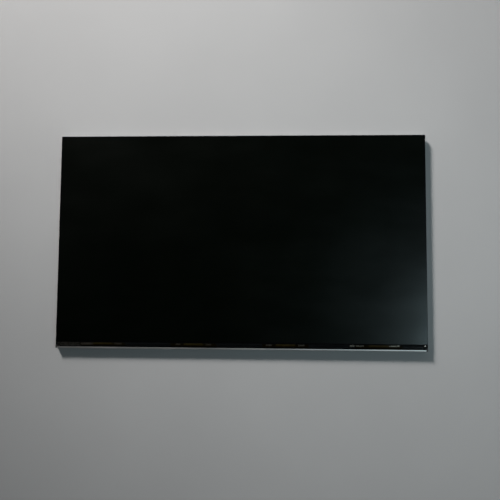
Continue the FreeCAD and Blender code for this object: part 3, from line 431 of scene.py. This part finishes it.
def array_metal():
    """Thin dark metal of the runs on the glass."""
    finish = Finish("array_metal", metal=1.0)
    clouds = finish.noise(4.0 * MM, 3.0)
    finish.give(
        colour=finish.ramp(clouds, (0.3, rgb(0.17, 0.17, 0.18)), (0.7, rgb(0.26, 0.26, 0.27))),
        rough=finish.span(clouds, 0.07, 0.11),
        normal=finish.relief(finish.noise(0.12 * MM), 0.6 * MICRON),
    )
    return finish.material


def tinned_lead():
    """Tin over copper, a little pink, dulled by the film's resin."""
    finish = Finish("tinned_lead", metal=0.97)
    clouds = finish.noise(5.0 * MM, 4.0)
    finish.give(
        colour=finish.ramp(clouds, (0.3, rgb(0.30, 0.255, 0.205)), (0.7, rgb(0.40, 0.345, 0.285))),
        rough=finish.span(clouds, 0.19, 0.23),
        normal=finish.relief(finish.noise(0.2 * MM), 2 * MICRON),
    )
    return finish.material


def clear_resin():
    """Dark, clear bead of cured resin."""
    finish = Finish("edge_resin", specular=0.5)
    clouds = finish.noise(4.0 * MM, 3.0)
    finish.give(
        colour=finish.ramp(clouds, (0.3, rgb(0.0012)), (0.7, rgb(0.0026))),
        rough=finish.span(clouds, 0.10, 0.18),
        normal=finish.relief(finish.noise(1.2 * MM), 8 * MICRON),
    )
    return finish.material


finishes = {
    "polarizer_film": polarizer_film(),
    "cell_glass": cell_glass(),
    "frame_plastic": moulded(
        "frame_plastic", rgb(0.009), rgb(0.016, 0.016, 0.017), (0.46, 0.60), 0.30 * MM, 7 * MICRON
    ),
    "cell_tape": moulded("cell_tape", rgb(0.008), rgb(0.015), (0.34, 0.50), 0.9 * MM, 5 * MICRON),
    "optical_film": moulded(
        "optical_film", rgb(0.74, 0.75, 0.77), rgb(0.84, 0.85, 0.87), (0.28, 0.42), 0.10 * MM, 3 * MICRON
    ),
    "light_guide_acrylic": dotted_guide(),
    "reflector_film": moulded("reflector_film", rgb(0.86), rgb(0.93), (0.45, 0.6), 0.15 * MM, 3 * MICRON),
    "guide_rubber": moulded(
        "guide_rubber", rgb(0.76, 0.76, 0.73), rgb(0.86, 0.86, 0.83), (0.6, 0.8), 0.2 * MM, 8 * MICRON
    ),
    "guide_foam": foam(),
    "rear_steel": rolled_metal(
        "rear_steel", rgb(0.54, 0.55, 0.56), rgb(0.60, 0.61, 0.62), (0.40, 0.44), 0.6 * MM, 1.6 * MICRON
    ),
    "cover_steel": rolled_metal(
        "cover_steel", rgb(0.48, 0.46, 0.452), rgb(0.57, 0.548, 0.537), (0.41, 0.49), 0.5 * MM, 1.4 * MICRON
    ),
    "driver_film": amber_film(
        "driver_film", rgb(0.007, 0.0052, 0.0014), rgb(0.0126, 0.0094, 0.0028), (0.10, 0.16),
        0.24 * MM, coated=True
    ),
    "corner_tape": moulded(
        "corner_tape", rgb(0.0045, 0.0042, 0.0033), rgb(0.0085, 0.0078, 0.0062), (0.24, 0.36),
        0.8 * MM, 6 * MICRON, 4.0 * MM
    ),
    "chip_black": moulded(
        "chip_black", rgb(0.016), rgb(0.03, 0.03, 0.031), (0.4, 0.55), 0.12 * MM, 4 * MICRON, 6.0 * MM
    ),
    "silver_paste": moulded(
        "silver_paste", rgb(0.42, 0.42, 0.41), rgb(0.66, 0.66, 0.64), (0.38, 0.58),
        0.25 * MM, 20 * MICRON, 1.0 * MM, metal=1.0
    ),
    "board_green": solder_mask(),
    "board_sheet": moulded("board_sheet", rgb(0.018), rgb(0.03), (0.3, 0.45), 0.5 * MM, 4 * MICRON),
    # Black insulating liner inside the bottom cover, made almost lightless (very dark, matt, nearly no
    # gloss): partly the liner's own black, partly painted shade for the deep gap behind the lip.
    "liner_black": moulded(
        "liner_black", rgb(0.003), rgb(0.006), (0.85, 0.95), 0.4 * MM, 10 * MICRON, specular=0.05
    ),
    "light_bar": moulded(
        "light_bar", rgb(0.72, 0.72, 0.70), rgb(0.84, 0.84, 0.82), (0.3, 0.45), 0.4 * MM, 4 * MICRON
    ),
    "lamp_yellow": moulded(
        "lamp_yellow", rgb(0.74, 0.60, 0.16), rgb(0.86, 0.76, 0.30), (0.25, 0.4),
        0.08 * MM, 5 * MICRON, 0.6 * MM
    ),
    "bar_tape": moulded(
        "bar_tape", rgb(0.66, 0.69, 0.71), rgb(0.76, 0.79, 0.81), (0.6, 0.8), 0.3 * MM, 8 * MICRON
    ),
    "flex_orange": amber_film(
        "flex_orange", rgb(0.34, 0.15, 0.03), rgb(0.46, 0.22, 0.05), (0.22, 0.34), 0.5 * MM
    ),
    "socket_ivory": moulded(
        "socket_ivory", rgb(0.66, 0.61, 0.50), rgb(0.76, 0.71, 0.60), (0.38, 0.52),
        0.15 * MM, 4 * MICRON, 6.0 * MM
    ),
    "socket_shell": rolled_metal(
        "socket_shell", rgb(0.66, 0.66, 0.65), rgb(0.78, 0.78, 0.77), (0.18, 0.30),
        0.3 * MM, 1.0 * MICRON, 10.0 * MM
    ),
    "contact_gold": rolled_metal(
        "contact_gold", rgb(0.72, 0.52, 0.20), rgb(0.86, 0.66, 0.30), (0.16, 0.28),
        0.1 * MM, 0.6 * MICRON, 2.0 * MM, "X"
    ),
    "inductor_grey": moulded(
        "inductor_grey", rgb(0.07), rgb(0.12, 0.12, 0.125), (0.55, 0.75), 0.15 * MM, 12 * MICRON, 4.0 * MM
    ),
    "capacitor_tan": moulded(
        "capacitor_tan", rgb(0.34, 0.23, 0.13), rgb(0.46, 0.33, 0.20), (0.3, 0.42),
        0.1 * MM, 3 * MICRON, 2.0 * MM
    ),
    "resistor_black": moulded(
        "resistor_black", rgb(0.018), rgb(0.034, 0.034, 0.038), (0.25, 0.4), 0.1 * MM, 3 * MICRON, 2.0 * MM
    ),
    "gasket_cloth": woven_metal(),
    "screw_steel": rolled_metal(
        "screw_steel", rgb(0.44, 0.44, 0.44), rgb(0.60, 0.60, 0.60), (0.26, 0.40),
        0.25 * MM, 1.2 * MICRON, 4.0 * MM
    ),
}

for part in frame["record"]["subparts"]:
    node = frame["nodes"][part["node"]]
    for holder in node.material_slots:
        holder.material = finishes[part["material_slot"]]


def closed_bar(mesh, rings):
    """A closed solid through rings of corners, all with the same count."""
    loops = [[mesh.verts.new(corner) for corner in ring] for ring in rings]
    for first, second in zip(loops, loops[1:]):
        count = len(first)
        for i in range(count):
            mesh.faces.new((first[i], first[(i + 1) % count], second[(i + 1) % count], second[i]))
    mesh.faces.new(list(reversed(loops[0])))
    mesh.faces.new(loops[-1])


def flat_run(mesh, start, end, width, z, thickness):
    """A flat run between two points. Its ends are cut along X, or along Y where it lies nearly along X."""
    (x0, y0), (x1, y1) = start, end
    half = width / 2
    if abs(y1 - y0) > abs(x1 - x0) * RUN_SLOPE:
        low = [(x0 - half, y0), (x0 + half, y0)]
        high = [(x1 - half, y1), (x1 + half, y1)]
    else:
        low = [(x0, y0 + half), (x0, y0 - half)]
        high = [(x1, y1 + half), (x1, y1 - half)]
    rings = []
    for a, b in (low, high):
        rings.append([(*a, z), (*b, z), (*b, z + thickness), (*a, z + thickness)])
    closed_bar(mesh, rings)


def piece(name, mesh, material):
    """A finished piece that rides on the part's one body."""
    bmesh.ops.recalc_face_normals(mesh, faces=mesh.faces)
    data = bpy.data.meshes.new(name)
    mesh.to_mesh(data)
    mesh.free()
    made = bpy.data.objects.new(name, data)
    bpy.context.scene.collection.objects.link(made)
    made.data.materials.append(material)
    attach(made, "root")
    return made


def film_leads(tinned):
    """Tinned leads in the flat of the driver films, bare on both sides of the amber middle."""
    mesh = bmesh.new()
    for (_, high), middle, bands in zip(film_boxes, film_middles, LEAD_BANDS):
        start = high.y - LEAD_START
        z = high.z - LEAD_SINK
        for first, last, length, width in bands:
            end = start - length * MM
            for i in range(int((last - first) * MM / LEAD_PITCH)):
                x = middle + first * MM + (i + 0.5) * LEAD_PITCH
                flat_run(mesh, (x, end), (x, start), width * MM, z, LEAD_SINK + LEAD_THICKNESS)
    piece("film_leads", mesh, tinned)


def ledge_leads(tinned):
    """Bare leads on the glass, beside the last film."""
    mesh = bmesh.new()
    start = film_boxes[-1][1].y - LEAD_START
    z = ledge_high.z - LEAD_SINK
    for i in range(int((BARE_END - BARE_START) / LEAD_PITCH)):
        x = film_middles[-1] + BARE_START + (i + 0.5) * LEAD_PITCH
        flat_run(mesh, (x, start - BARE_LENGTH), (x, start), BARE_WIDTH, z, LEAD_SINK + LEAD_THICKNESS)
    piece("ledge_leads", mesh, tinned)


def cross_mark(mesh, x, y, z):
    """A flat upright cross."""
    half = MARK_SIZE / 2
    arm = MARK_WIDTH / 2
    outline = [
        (-arm, -half), (arm, -half), (arm, -arm), (half, -arm), (half, arm), (arm, arm),
        (arm, half), (-arm, half), (-arm, arm), (-half, arm), (-half, -arm), (-arm, -arm),
    ]
    closed_bar(mesh, [[(x + dx, y + dy, level) for dx, dy in outline] for level in (z, z + FOIL)])


def ledge_metal():
    """Runs on the glass ledge: fans from each film, with bus lines, test pads and cross marks between."""
    mesh = bmesh.new()
    z = ledge_high.z - FOIL / 4
    upper = filter_low.y
    for (low, high), middle in zip(film_boxes, film_middles):
        half = (high.x - low.x) / 2 - LEAD_MARGIN
        for i in range(FAN_COUNT):
            share = 2 * (i + 0.5) / FAN_COUNT - 1
            start = (middle + share * half, high.y)
            end = (middle + share * (half + FAN_SPREAD), upper)
            flat_run(mesh, start, end, FAN_WIDTH, z, FOIL)
        for side in (-1, 1):
            edge = middle + side * ((high.x - low.x) / 2 + MARK_GAP)
            cross_mark(mesh, edge, ledge_low.y + MARK_LINE, z)
    edges = [ledge_low.x + BEAD_END]
    for low, high in film_boxes:
        edges += [low.x - BUS_GAP, high.x + BUS_GAP]
    edges.append(ledge_high.x - BEAD_END)
    for x0, x1 in zip(edges[0::2], edges[1::2]):
        for inset, width in BUS_LINES:
            flat_run(mesh, (x0, ledge_low.y + inset), (x1, ledge_low.y + inset), width, z, FOIL)
        count = int((x1 - x0 - PAD_END * 2) / PAD_PITCH)
        first = (x0 + x1) / 2 - (count - 1) * PAD_PITCH / 2
        for i in range(count):
            x = first + i * PAD_PITCH
            y = ledge_low.y + PAD_LINE
            flat_run(mesh, (x, y - PAD_SIZE / 2), (x, y + PAD_SIZE / 2), PAD_SIZE, z, FOIL)
    piece("ledge_metal", mesh, array_metal())


def corner_tape():
    """Amber tape over the ledge's left end, raised over the paste dot and bent down past the glass."""
    mesh = bmesh.new()
    x0, x1 = ledge_low.x + TAPE_INSET, film_boxes[0][0].x - TAPE_GAP
    y0, y1 = film_boxes[0][1].y + TAPE_TOP, ledge_low.y
    level = ledge_high.z + FOIL
    dot = (dot_low + dot_high) / 2
    radius = (dot_high.x - dot_low.x) / 2
    rise = dot_high.z - ledge_high.z + TAPE_OVER_DOT

    def over_dot(x, y):
        away = math.hypot(x - dot.x, y - dot.y) / radius
        return level + rise * math.exp(-TAPE_FALL * away ** 2)

    across = int((y0 - y1) / TAPE_STEP)
    along = int((x1 - x0) / TAPE_STEP)
    rings = []
    steps = [y0 + (y1 - y0) * j / across for j in range(across + 1)]
    for i in range(along + 1):
        x = x0 + (x1 - x0) * i / along
        lower = [(x, y, over_dot(x, y)) for y in steps]
        lower += [(x, y1 - out, level - down) for out, down in TAPE_FOLD]
        rings.append(lower + [(x, y, z + TAPE_THICKNESS) for _, y, z in reversed(lower)])
    closed_bar(mesh, rings)
    piece("corner_tape", mesh, finishes["corner_tape"])


def edge_resin():
    """Bead of resin where the upper glass meets the ledge, a little uneven along its length."""
    mesh = bmesh.new()
    x0, x1 = ledge_low.x + BEAD_END, ledge_high.x - BEAD_END
    wall = filter_low.y + BEAD_TUCK
    count = int((x1 - x0) / BEAD_STEP)
    rings = []
    for i in range(count + 1):
        x = x0 + (x1 - x0) * i / count
        size = 1.0 + sum(share * math.sin(i * turn + start) for share, turn, start in BEAD_SWELLS)
        if i in (0, count):
            size *= BEAD_TAPER
        ring = []
        for side in range(BEAD_SIDES + 1):
            turn = math.pi / 2 * side / BEAD_SIDES
            y = wall - BEAD_WIDTH * size * math.sin(turn)
            ring.append((x, y, ledge_high.z + BEAD_HEIGHT * size * math.cos(turn)))
        ring.append((x, wall, ledge_high.z - BEAD_SINK))
        rings.append(ring)
    closed_bar(mesh, rings)
    made = piece("edge_resin", mesh, clear_resin())
    for face in made.data.polygons:
        face.use_smooth = True


tinned = tinned_lead()
film_leads(tinned)
ledge_leads(tinned)
ledge_metal()
corner_tape()
edge_resin()


def pale_floor():
    """The wide matt floor that the module lies on."""
    mesh = bmesh.new()
    bmesh.ops.create_grid(mesh, x_segments=2, y_segments=2, size=FLOOR_HALF)
    data = bpy.data.meshes.new("floor")
    mesh.to_mesh(data)
    mesh.free()
    floor = bpy.data.objects.new("floor", data)
    floor.location.z = -FLOOR_DROP
    bpy.context.scene.collection.objects.link(floor)
    dark, light = map(rgb, FLOOR_TONES)
    floor.data.materials.append(
        moulded("pale_floor", dark, light, (0.6, 0.7), 1.5 * MM, 6 * MICRON, 250.0 * MM, specular=0.0)
    )


pale_floor()


def lamp(name, place, aim, size, power, spread, colour):
    """A soft disk lamp behind a grid, which looks at a point."""
    data = bpy.data.lights.new(name, "AREA")
    data.shape = "DISK"
    data.size = size
    data.energy = power
    data.spread = spread
    data.color = colour
    made = bpy.data.objects.new(name, data)
    made.location = place
    made.rotation_euler = (Vector(aim) - Vector(place)).to_track_quat("-Z", "Y").to_euler()
    made.visible_camera = False
    bpy.context.scene.collection.objects.link(made)


lamp(
    "key_lamp",
    place=(-1.60, 2.74, 1.60),
    aim=(-0.283, 0.773, 0.0),
    size=0.85,
    power=12.9,
    spread=0.60,
    colour=(1.011, 0.98, 0.965),
)
lamp(
    "right_lamp",
    place=(1.13, -0.305, 2.20),
    aim=(0.30, 0.04, 0.0),
    size=0.50,
    power=0.87,
    spread=0.9,
    colour=(0.71, 0.98, 1.06),
)


def studio_world():
    """Dim room light: a dark ceiling, and pale walls on the right and behind the module's top."""
    world = bpy.data.worlds.new("studio")
    bpy.context.scene.world = world
    world.use_nodes = True
    nodes, links = world.node_tree.nodes, world.node_tree.links
    nodes.clear()
    direction = nodes.new("ShaderNodeTexCoord").outputs["Generated"]

    def maths(operation, a, b):
        node = nodes.new("ShaderNodeMath")
        node.operation = operation
        for socket, value in zip(node.inputs, (a, b)):
            if isinstance(value, bpy.types.NodeSocket):
                links.new(value, socket)
            else:
                socket.default_value = value
        return node.outputs[0]

    along = nodes.new("ShaderNodeVectorMath")
    along.operation = "DOT_PRODUCT"
    links.new(direction, along.inputs[0])
    along.inputs[1].default_value = ROOM_PALE_SIDE
    height = nodes.new("ShaderNodeSeparateXYZ")
    links.new(direction, height.inputs[0])
    turned = maths("POWER", maths("ADD", maths("MULTIPLY", along.outputs["Value"], 0.5), 0.5), 2.0)
    around = maths("ADD", maths("MULTIPLY", turned, 1.0 - ROOM_DARK_SHARE), ROOM_DARK_SHARE)
    z = height.outputs["Z"]
    level = maths("POWER", maths("SUBTRACT", 1.0, maths("MULTIPLY", z, z)), 2.0)
    wall = maths("MULTIPLY", maths("MULTIPLY", level, around), ROOM_WALL)
    sky = nodes.new("ShaderNodeBackground")
    sky.inputs["Color"].default_value = rgb(*ROOM_COLOUR)
    links.new(maths("ADD", wall, ROOM_CEILING), sky.inputs["Strength"])
    output = nodes.new("ShaderNodeOutputWorld")
    links.new(sky.outputs["Background"], output.inputs["Surface"])


studio_world()


def camera():
    """The photograph's camera, rolled a little about its line of sight."""
    data = bpy.data.cameras.new("camera")
    data.lens = CAMERA_LENS
    data.sensor_width = CAMERA_SENSOR
    data.sensor_fit = "HORIZONTAL"
    data.clip_start = CAMERA_NEAR
    made = bpy.data.objects.new("camera", data)
    forward = (CAMERA_AIM - CAMERA_PLACE).normalized()
    level = forward.cross(Vector((0.0, 1.0, 0.0))).normalized()
    upright = level.cross(forward)
    right = level * math.cos(CAMERA_ROLL) + upright * math.sin(CAMERA_ROLL)
    up = right.cross(forward)
    turned = Matrix((right, up, -forward)).transposed()
    made.matrix_world = Matrix.Translation(CAMERA_PLACE) @ turned.to_4x4()
    bpy.context.scene.collection.objects.link(made)
    bpy.context.scene.camera = made


camera()
bpy.context.scene.view_settings.view_transform = "Standard"
